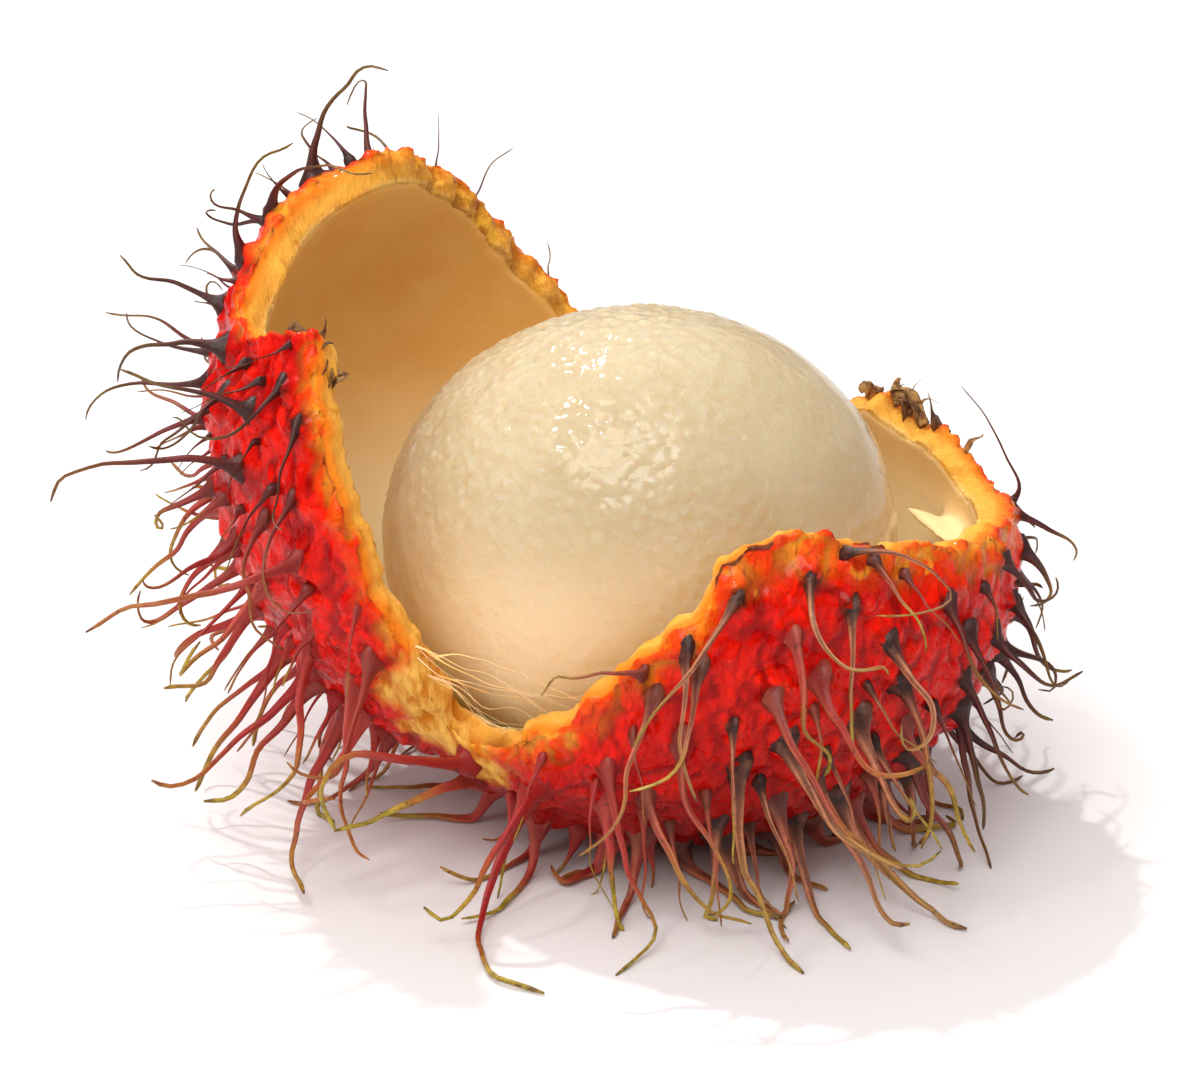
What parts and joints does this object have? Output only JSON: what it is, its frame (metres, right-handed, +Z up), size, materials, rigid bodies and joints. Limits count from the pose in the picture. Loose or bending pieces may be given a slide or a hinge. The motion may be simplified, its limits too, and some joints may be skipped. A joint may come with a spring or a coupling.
{
  "type": "opened rambutan",
  "caption": "Ripe rambutan torn open: the soft-spined red rind is folded back in hinged lobes round the whole translucent white flesh, which lies loose in the lower lobe.",
  "frame": {"origin": "middle of the small flat spot under the lower lobe that the fruit rests on", "axes": "+Z up; +X from the opened upper lobe to the lower lobe's far end, along the fruit's length; -Y the side where the flesh shows between the lobes"},
  "size_m": [0.065, 0.0555, 0.0485],
  "materials": {
    "rind_skin": "glossy knobbly red skin with dark purple to olive soft spines, orange-yellow torn pith and a smooth tan lining",
    "aril_flesh": "wet translucent cream-white flesh"
  },
  "bodies": {
    "root": {"rind": "rind_skin", "aril": "aril_flesh"}
  },
  "joints": []
}
